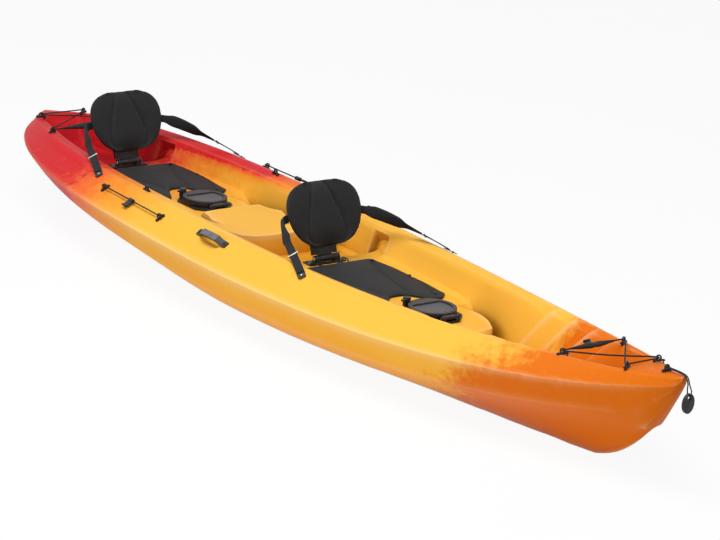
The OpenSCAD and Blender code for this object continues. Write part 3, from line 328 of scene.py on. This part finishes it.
def moulded_hull():
    """Moulded polyethylene: red stern, yellow middle and orange bow, mottled where they meet."""
    finish = Finish("moulded_hull", Specular_IOR_Level=0.07)
    place = finish.place()
    x, y, z = finish.axes(place)
    blotch = finish.noise(place, 5.5, 3.0) - 0.5
    speck = finish.noise(place, 34.0, 5.0, 0.75) - 0.5
    drift = x + blotch * 0.30 + speck * 0.34
    # Painted shade: the hull turns deeper yellow towards the bottom, standing in for its shaded lower side
    colour = finish.mixed((z + blotch * 0.08).step(0.22, 0.08), YELLOW, SHADED_YELLOW)
    inside = y.step(0.02, 0.20) * x.step(0.95, 1.25)
    bow = (drift - z * 1.1 + inside * 0.12).step(0.82, 1.02)
    colour = finish.mixed(bow, colour, ORANGE)
    far_rail = y.step(0.16, 0.28) * z.step(0.225, 0.27)
    well = y.maths("ABSOLUTE").step(0.275, 0.24) * z.step(0.275, 0.25)
    aft = drift - far_rail * 0.40 + well * 0.20
    colour = finish.mixed(aft.step(-0.42, -0.82), colour, AMBER)
    colour = finish.mixed(aft.step(-0.70, -0.98), colour, SALMON)
    colour = finish.mixed(aft.step(-0.94, -1.08), colour, RED)
    colour = finish.mixed(aft.step(-1.15, -1.6) * z.step(0.25, 0.18) * 0.6, colour, CRIMSON)
    # Pale random specks, plus a painted highlight along sharp convex edges (pointiness), weaker at the stern
    pale = finish.noise(place, 26.0, 5.0, 0.7).step(0.58, 0.82)
    edge_highlight = finish.node("NewGeometry", output="Pointiness").step(0.505, 0.56)
    pale_specks_and_edge_highlight = (pale * 0.16).larger(edge_highlight * (x.step(-1.15, -0.3) * 0.28 + 0.12))
    colour = finish.mixed(pale_specks_and_edge_highlight, colour, (0.95, 0.66, 0.36))
    # Painted shade: ambient occlusion darkens the hull's own recesses, wells and corners towards dark olive
    painted_recess_shade = finish.node("AmbientOcclusion", {"only_local": True, "samples": 8}, {"Distance": 0.15}, "AO")
    colour = finish.mixed(painted_recess_shade.step(0.72, 0.22), colour, (0.34, 0.26, 0.08), "MULTIPLY")
    grain = finish.noise(place, 700.0, 2.0)
    ripple = finish.noise(place, 14.0, 2.0)
    return finish.shade(colour, 0.44 + speck * 0.16, grain * 0.06 + ripple, 0.0010, 0.5)


def black_plastic():
    """Moulded plastic with a fine spark texture and paler worn spots."""
    finish = Finish("black_plastic", Specular_IOR_Level=0.4)
    place = finish.place()
    grain = finish.noise(place, 900.0, 2.0)
    rub = finish.noise(place, 60.0, 4.0, 0.7)
    colour = finish.mixed(rub.step(0.5, 0.85), (0.007, 0.007, 0.008), (0.018, 0.018, 0.019))
    return finish.shade(colour, 0.36 + rub * 0.22, grain, 0.00025, 0.5)


def lid_plastic():
    """Hatch lids: black plastic, with a painted reflection that makes the upward floor in the dish greyer."""
    finish = Finish("lid_plastic", Specular_IOR_Level=0.4)
    place = finish.place()
    height = finish.axes(place)[2]
    up = finish.axes(finish.node("TexCoord", output="Normal"))[2]
    # Painted reflection: the upward-facing floor of the dish is made grey, as if lit
    dish = up.step(0.92, 0.98) * height.step(LID_TOP - 0.002, LID_TOP - 0.004)
    grain = finish.noise(place, 900.0, 2.0)
    rub = finish.noise(place, 60.0, 4.0, 0.7)
    grey = finish.mixed(rub.step(0.3, 0.8), (0.040, 0.040, 0.043), (0.075, 0.075, 0.080))
    colour = finish.mixed(dish, (0.009, 0.009, 0.010), grey)
    return finish.shade(colour, 0.36 + rub * 0.22, grain, 0.00025, 0.5)


def grip_plastic():
    """Carry handles: a grey face on top, with black sides and black end caps."""
    finish = Finish("grip_plastic")
    place = finish.place()
    x, y, _ = finish.axes(place)
    _, across, up = finish.axes(finish.node("TexCoord", output="Normal"))
    face = (across * y.sign() * math.sin(HANDLE_TILT) + up * math.cos(HANDLE_TILT)).step(0.86, 0.93)
    middle = (x - HANDLE_X).maths("ABSOLUTE").step(0.064, 0.061)
    grain = finish.noise(place, 600.0, 2.0)
    rub = finish.noise(place, 45.0, 4.0, 0.7)
    grey = finish.mixed(rub.step(0.3, 0.8), (0.085, 0.085, 0.092), (0.15, 0.15, 0.16))
    colour = finish.mixed(face * middle, (0.010, 0.010, 0.011), grey)
    return finish.shade(colour, 0.40 + rub * 0.2, grain, 0.0003, 0.5)


def stainless():
    """Satin steel, drawn along Y."""
    finish = Finish("stainless", Metallic=1.0)
    place = finish.place()
    drawn = finish.node("Mapping", inputs={"Vector": place, "Scale": (900.0, 40.0, 900.0)})
    line = finish.noise(drawn, 1.0, 3.0)
    colour = finish.mixed(line, (0.46, 0.46, 0.47), (0.68, 0.68, 0.70))
    return finish.shade(colour, 0.26 + line * 0.2, line, 0.00006, 0.5)


def coated_steel():
    """Black-coated screws, worn bare in small spots."""
    finish = Finish("coated_steel", Metallic=0.6)
    place = finish.place()
    rub = finish.noise(place, 300.0, 4.0, 0.7)
    colour = finish.mixed(rub.step(0.62, 0.85), (0.012, 0.012, 0.013), (0.07, 0.07, 0.072))
    return finish.shade(colour, 0.38 + rub * 0.2, rub, 0.0001, 0.4)


def pale_slider():
    """Nickel-plated strap slider."""
    finish = Finish("pale_slider", Metallic=0.85)
    place = finish.place()
    mark = finish.noise(place, 240.0, 3.0)
    colour = finish.mixed(mark, (0.50, 0.49, 0.47), (0.74, 0.73, 0.70))
    return finish.shade(colour, 0.28 + mark * 0.22, mark, 0.0001, 0.4)


def pad_foam():
    """Closed-cell foam skin of the seat pads, with a pebbled face."""
    finish = Finish("pad_foam", Specular_IOR_Level=0.25)
    place = finish.place()
    cells = finish.node("TexVoronoi", {"feature": "F1"}, {"Vector": place, "Scale": 520.0}, "Distance")
    dust = finish.noise(place, 22.0, 4.0, 0.6)
    colour = finish.mixed(dust, (0.011, 0.011, 0.012), (0.020, 0.020, 0.0215))
    return finish.shade(colour, 0.62 + dust * 0.2, cells, 0.0005, 0.6)


def back_cloth():
    """Plain-woven cover of the seat backs."""
    finish = Finish("back_cloth", Specular_IOR_Level=0.3, Sheen_Weight=0.05, Sheen_Roughness=0.5)
    place = finish.place()
    _, y, z = finish.axes(place)
    pitch = 2 * math.pi / 0.0016
    warp = (y * pitch).sine()
    weft = (z * pitch).sine()
    weave = (warp * weft) * 0.5 + 0.5
    dust = finish.noise(place, 30.0, 4.0, 0.6)
    colour = finish.mixed(weave * 0.5 + dust * 0.5, (0.007, 0.007, 0.0075), (0.016, 0.016, 0.017))
    return finish.shade(colour, 0.74 + dust * 0.18, weave, 0.0003, 0.5)


def webbing():
    """Flat woven strap, ribbed across its length by its own UV map, in metres."""
    finish = Finish("webbing", Specular_IOR_Level=0.3)
    strip = finish.node("UVMap", {"uv_map": "strip"})
    along, across, _ = finish.axes(strip)
    pitch = 2 * math.pi / 0.0022
    rib = ((along + across * 0.7) * pitch).sine() * ((along - across * 0.7) * pitch).sine()
    dust = finish.noise(finish.place(), 60.0, 3.0)
    colour = finish.mixed(rib * 0.3 + dust * 0.6, (0.005, 0.005, 0.0055), (0.014, 0.014, 0.015))
    return finish.shade(colour, 0.70 + dust * 0.2, rib, 0.0003, 0.6)


def braid():
    """Braided cover of the elastic cord."""
    finish = Finish("braid", Specular_IOR_Level=0.3)
    place = finish.place()
    x, y, z = finish.axes(place)
    pitch = 2 * math.pi / 0.0024
    strand = ((x + y + z) * pitch).sine() * ((x - y + z) * pitch).sine()
    fuzz = finish.noise(place, 300.0, 3.0)
    colour = finish.mixed(fuzz, (0.006, 0.006, 0.007), (0.018, 0.018, 0.019))
    return finish.shade(colour, 0.6 + fuzz * 0.25, strand, 0.0004, 0.6)


def seal_rubber():
    """Soft black rubber with a grey bloom."""
    finish = Finish("seal_rubber")
    place = finish.place()
    bloom = finish.noise(place, 80.0, 4.0)
    colour = finish.mixed(bloom, (0.02, 0.02, 0.021), (0.045, 0.045, 0.046))
    return finish.shade(colour, 0.6 + bloom * 0.2, bloom, 0.0002, 0.5)


HULL = moulded_hull()
BLACK = black_plastic()
LID = lid_plastic()
GRIP = grip_plastic()
STEEL = stainless()
DARK_STEEL = coated_steel()
SLIDER = pale_slider()
FOAM = pad_foam()
CLOTH = back_cloth()
WEBBING = webbing()
BRAID = braid()
RUBBER = seal_rubber()
FINISH_OF_SLOT = {
    "hull_plastic": HULL, "black_plastic": BLACK, "steel": STEEL, "dark_steel": DARK_STEEL,
    "pad_foam": FOAM, "back_cloth": CLOTH, "webbing": WEBBING, "cord": BRAID, "seal_rubber": RUBBER,
    "handle_plastic": GRIP, "slider_plastic": SLIDER,
}


# Bow toggle's cord, first because it hangs free
TOGGLE_CORD_D = 0.004
TOGGLE_GRIP = Vector((1.855, 0, 0.317))
TOGGLE_RUN = [
    (1.7442, 0.0024, 0.3773), (1.7592, 0.0024, 0.3773), (1.770, 0.0025, 0.3778), (1.786, 0.0028, 0.3787),
    (1.803, 0.003, 0.3790), (1.818, 0.003, 0.3785), (1.831, 0.003, 0.3770), (1.8378, 0.003, 0.3738),
    (1.842, 0.003, 0.3690), (1.846, 0.003, 0.3625), (1.849, 0.003, 0.3550),
]
TOGGLE_END = [
    (0.0073, 0.002, 0.020), (0.0073, 0, 0.009), (0.0066, 0, 0.0052), (0.0045, 0, 0.004), (0.0003, 0, 0.004),
]


def toggle_strands():
    strands = []
    for side, sign in SIDES.items():
        bpy.ops.curve.primitive_nurbs_path_add()
        strand = named("toggle_strand_" + side)
        strand.location = (0, 0, 0)
        strand.data.splines.clear()
        spline = strand.data.splines.new("POLY")
        route = [Vector((x, sign * y, z)) for x, y, z in TOGGLE_RUN]
        route += [TOGGLE_GRIP + Vector((sign * x, sign * y, z)) for x, y, z in TOGGLE_END]
        spline.points.add(len(route) - 1)
        for point, place in zip(spline.points, route):
            point.co = (*place, 1)
        strand.data.bevel_depth = TOGGLE_CORD_D / 2
        strand.data.bevel_resolution = 4
        strand.data.use_fill_caps = True
        dress(strand, BRAID, "toggle_cord")
        length = sum((b - a).length for a, b in zip(route, route[1:]))
        strands.append((strand, route[0], length))
    return strands


TOGGLE_STRANDS = toggle_strands()


# Hull
def hull():
    piece = copy_of("hull", "moulded_shell")
    quads(piece)
    stiffen(piece, ((13, 0.30), (24, 0.25), (36, 0.25)))
    subdivide(piece, 2, rounds=3)
    co = points_of(piece.data)
    co[:, 2] = np.maximum(co[:, 2], 0)
    set_points(piece.data, co)
    smooth_shade(piece, 14)
    dress(piece, HULL, "hull")


hull()


# Padded seats
def swell(piece, hold, cap, pressure=4.0, frames=20):
    """Blows a cover up like stuffed cloth. Points where hold gives 1 stay, and none moves more than cap."""
    rest = points_of(piece.data)
    group = piece.vertex_groups.new(name="held")
    for index, weight in enumerate(hold(rest)):
        group.add([index], float(weight), "REPLACE")
    modifier = piece.modifiers.new("stuffing", "CLOTH")
    cloth = modifier.settings
    cloth.quality = 5
    cloth.mass = 0.3
    cloth.tension_stiffness = 12
    cloth.compression_stiffness = 12
    cloth.shear_stiffness = 6
    cloth.bending_stiffness = 0.4
    cloth.vertex_group_mass = "held"
    cloth.use_pressure = True
    cloth.uniform_pressure_force = pressure
    cloth.effector_weights.gravity = 0
    modifier.point_cache.frame_start = 1
    modifier.point_cache.frame_end = frames
    for step in range(1, frames + 1):
        bpy.context.scene.frame_set(step)
    move = evaluated_points(piece) - rest
    length = np.linalg.norm(move, axis=1, keepdims=True)
    move *= np.minimum(1, cap / np.maximum(length, 1e-9))
    piece.modifiers.remove(modifier)
    piece.vertex_groups.remove(group)
    set_points(piece.data, rest + move)
    bpy.context.scene.frame_set(1)


def rise(low, high, value):
    t = np.clip((value - low) / (high - low), 0, 1)
    return t * t * (3 - 2 * t)


def back_frame(seat, co):
    """Points in a seat back's own frame: forward, left and up from its hinge."""
    d = co - np.array(HINGE[seat])
    c, s = math.cos(BACK_LEAN), math.sin(BACK_LEAN)
    return d[:, 0] * c + d[:, 2] * s, d[:, 1], d[:, 2] * c - d[:, 0] * s


def back_seam(seat, co):
    """How close each point is to a seam on the front of a seat back, 1 on the thread."""
    forward, left, up = back_frame(seat, co)
    v = np.clip((up - NECK_H) / BACK_H, 0.01, 0.99)
    half = BACK_W / 2 * (0.86 + 0.14 * rise(0, 0.6, v)) * (1 - np.abs(2 * v - 1) ** 2.85) ** 0.35
    line = half * (0.26 + 0.54 * (1 - v) ** 1.7)
    near = np.exp(-((np.abs(left) - line) / 0.0075) ** 2)
    front = rise(0.002, 0.014, forward - BACK_WRAP * (left / (BACK_W / 2)) ** 2)
    return near * front * rise(0.02, 0.12, v)


def back_pad(seat):
    node = seat + "_back_pad"
    piece = copy_of(node, seat + "_back_cushion")
    quads(piece)
    subdivide(piece, 1, rounds=2)
    apply(piece, "REMESH", mode="VOXEL", voxel_size=0.005)
    def hold(co):
        forward, left, up = back_frame(seat, co)
        rear = 1 - rise(0.000, 0.012, forward - BACK_WRAP * (left / (BACK_W / 2)) ** 2)
        return np.maximum(rear, back_seam(seat, co) > 0.5)
    swell(piece, hold, 0.008)
    apply(piece, "SMOOTH", factor=0.5, iterations=4)
    subdivide(piece, 1)
    co = points_of(piece.data)
    groove = back_seam(seat, co) * 0.008
    lean = np.array((math.cos(BACK_LEAN), 0, math.sin(BACK_LEAN)))
    set_points(piece.data, co - groove[:, None] * lean)
    smooth_shade(piece)
    dress(piece, CLOTH, node)


PAD_REAR = 0.042
PAD_NOTCH = {"front": 0.400, "rear": 0.330}
PAD_TIP = {"front": 0.484, "rear": 0.449}
PAD_HALF = 0.178
CHANNEL_HALF = 0.006


def pad_place(seat, co):
    """Each point's place on a seat pad: the half width there, the share across it and the share along."""
    x = co[:, 0] - HINGE[seat].x - PAD_REAR
    along = np.clip(x / (PAD_TIP[seat] - PAD_REAR), 0, 1)
    for _ in range(3):
        half = PAD_HALF * (0.94 + 0.06 * rise(0, 0.3, along) - 0.05 * rise(0.6, 1, along))
        across = np.abs(co[:, 1]) / half
        lobe = rise(0.12, 0.62, across)
        front = PAD_NOTCH[seat] * (1 - lobe) + PAD_TIP[seat] * lobe - 0.036 * rise(0.72, 1, across)
        along = np.clip(x / (front - PAD_REAR), 0, 1)
    return half, across, along


def pad_channel(seat, co):
    """How close each point is to a channel of a seat pad, 1 on its line."""
    half, across, along = pad_place(seat, co)
    long_line = 0.3 + 0.6 * (1 - along) ** 2.2
    long_part = rise(0.03, 0.12, along) * (1 - rise(0.86, 0.97, along))
    short_line = 1.0 - 0.36 * np.clip((along - 0.48) / 0.47, 0, 1) ** 1.3
    short_part = rise(0.48, 0.56, along) * (1 - rise(0.90, 0.98, along))
    near = [np.exp(-((across - line) * half / CHANNEL_HALF) ** 2) * part
            for line, part in ((long_line, long_part), (short_line, short_part))]
    return np.maximum(*near)


def seat_pad(seat):
    node = seat + "_seat_pad"
    piece = copy_of(node, seat + "_seat_cushion")
    quads(piece)
    subdivide(piece, 1, rounds=2)
    apply(piece, "REMESH", mode="VOXEL", voxel_size=0.004)
    def hold(co):
        under = normals_of(piece.data)[:, 2] < 0.2
        return np.maximum(under, pad_channel(seat, co) > 0.5)
    swell(piece, hold, 0.003)
    apply(piece, "SMOOTH", factor=0.5, iterations=2)
    subdivide(piece, 1)
    co = points_of(piece.data)
    top = rise(0.3, 0.8, normals_of(piece.data)[:, 2])
    co[:, 2] -= 0.0045 * pad_channel(seat, co) * top
    set_points(piece.data, co)
    smooth_shade(piece)
    dress(piece, FOAM, node)


for seat in SEATS:
    back_pad(seat)
    seat_pad(seat)


# Straps
def strap(seat, side):
    node = f"{seat}_{side}_strap"
    piece = copy_of(node, f"{seat}_{side}_webbing")
    quads(piece)
    subdivide(piece, 2, rounds=2)
    smooth_shade(piece, 50)
    strip = piece.data.uv_layers.new(name="strip")
    co = points_of(piece.data)
    corners = np.zeros(len(piece.data.loops), np.int32)
    piece.data.loops.foreach_get("vertex_index", corners)
    uv = np.stack([np.hypot(co[:, 0], co[:, 2]), co[:, 1]], axis=1)[corners]
    strip.data.foreach_set("uv", uv.astype(np.float32).ravel())
    piece.data.materials.append(WEBBING)
    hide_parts(node)
    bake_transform(piece)


for seat in SEATS:
    for side in SIDES:
        strap(seat, side)


# Hardware: the CAD shapes with rounded edges
def moulded(node, bevel):
    piece = copy_of(node, node + "_finished")
    with editing(piece):
        bpy.ops.mesh.dissolve_limited(angle_limit=math.radians(1))
    apply(piece, "BEVEL", width=bevel, segments=2, limit_method="ANGLE", angle_limit=math.radians(35))
    smooth_shade(piece, 32)
    finish = LID if node.endswith("_hatch_lid") else FINISH_OF_SLOT[SLOT_OF[node]]
    return dress(piece, finish, node)


EDGE = {
    "strap_anchors": 0.0008, "strap_sliders": 0.001, "seat_pad_studs": 0.0008,
    "bow_eyes": 0.001, "stern_eyes": 0.001, "rail_eyes": 0.001, "keeper_eyes": 0.001, "toggle_eye": 0.001,
    "bow_hook": 0.001, "stern_hook": 0.001, "left_keeper_hook": 0.001, "right_keeper_hook": 0.001,
    "toggle_grip": 0.0025, "left_carry_handle": 0.002, "right_carry_handle": 0.002,
    "hinge_screws": 0.0006, "anchor_screws": 0.0006, "hatch_screws": 0.0006, "eye_screws": 0.0006,
    "handle_screws": 0.0006,
}
for seat in SEATS:
    EDGE.update({
        seat + "_back_shell": 0.001, seat + "_hinge_base": 0.0015, seat + "_hinge_pin": 0.0008,
        seat + "_hatch_base": 0.0015, seat + "_hatch_lid": 0.002, seat + "_latch": 0.0015,
        seat + "_lid_pin": 0.0004, seat + "_hatch_seal": 0.0008,
    })
HARDWARE = {node: moulded(node, width) for node, width in EDGE.items()}

# How far a lid's rivet lies ahead of the seat's hinge
RIVET_AHEAD = {"front": 0.646, "rear": 0.576}


def lid_rivet(seat):
    """A small domed rivet in the dish of a hatch lid."""
    over = Vector((HINGE[seat].x + RIVET_AHEAD[seat], 0.010, 0.4))
    _, place, _, _ = HARDWARE[seat + "_hatch_lid"].ray_cast(over, Vector((0, 0, -1)))
    bpy.ops.mesh.primitive_uv_sphere_add(segments=24, ring_count=12, radius=0.0045, location=place)
    rivet = named(seat + "_lid_rivet")
    rivet.scale.z = 0.5
    bpy.ops.object.transform_apply()
    smooth_shade(rivet)
    dress(rivet, DARK_STEEL, body=seat + "_lid")


for seat in SEATS:
    lid_rivet(seat)


# Cords that the boat holds all the way
def held_cord(node):
    piece = copy_of(node, node + "_braid")
    quads(piece)
    subdivide(piece, 2, rounds=2)
    smooth_shade(piece)
    return dress(piece, BRAID, node)


for node in ("bow_lacing", "stern_lacing", "left_keeper_cord", "right_keeper_cord", "front_seat_cord"):
    held_cord(node)


# Light, floor and backdrop
def area_lamp(name, place, target, size, watts):
    data = bpy.data.lights.new(name, "AREA")
    data.shape = "RECTANGLE"
    data.size, data.size_y = size
    data.energy = watts
    lamp = bpy.data.objects.new(name, data)
    bpy.context.scene.collection.objects.link(lamp)
    lamp.location = place
    lamp.rotation_euler = (Vector(target) - Vector(place)).to_track_quat("-Z", "Y").to_euler()


def seen_by_eye(graph):
    """1 for the rays that see the backdrop straight, in a gloss or through glass."""
    camera = graph.node("LightPath", output="Is Camera Ray")
    rays = camera.socket.node.outputs
    glossy = Wire(graph, rays["Is Glossy Ray"])
    through = Wire(graph, rays["Is Transmission Ray"])
    return camera.larger(glossy).larger(through)


def pale_floor():
    bpy.ops.mesh.primitive_plane_add(size=60, location=(0, 0, -0.0005))
    floor = named("pale_floor")
    finish = Finish("pale_floor", Roughness=0.9)
    cloud = finish.noise(finish.place(), 0.8, 2.0)
    finish.shade(finish.mixed(cloud, (0.86, 0.86, 0.86), (0.88, 0.88, 0.88)))
    glow = finish.node("Emission", inputs={"Color": (1.0, 1.0, 1.0, 1.0), "Strength": 1.0})
    share = seen_by_eye(finish) * 0.93
    surface = Wire(finish, finish.shader.outputs[0])
    blend = finish.node("MixShader", inputs={0: share, 1: surface, 2: glow})
    finish.tree.links.new(blend.socket, finish.tree.nodes["Material Output"].inputs["Surface"])
    floor.data.materials.append(finish.material)


def white_sky():
    world = bpy.data.worlds.new("studio")
    bpy.context.scene.world = world
    world.use_nodes = True
    sky = Graph(world.node_tree)
    backdrop = sky.tree.nodes["Background"]
    backdrop.inputs["Color"].default_value = (1, 1, 1, 1)
    sky.plug(backdrop.inputs["Strength"], seen_by_eye(sky) * 0.84 + 0.16)


area_lamp("overhead", (0.4, -1.4, 4.2), (0, 0, 0.2), (5.0, 2.2), 200)
area_lamp("near_side", (2.2, -4.2, 1.8), (0, 0, 0.2), (4.0, 2.0), 60)
pale_floor()
white_sky()
bpy.context.scene.view_settings.view_transform = "Standard"
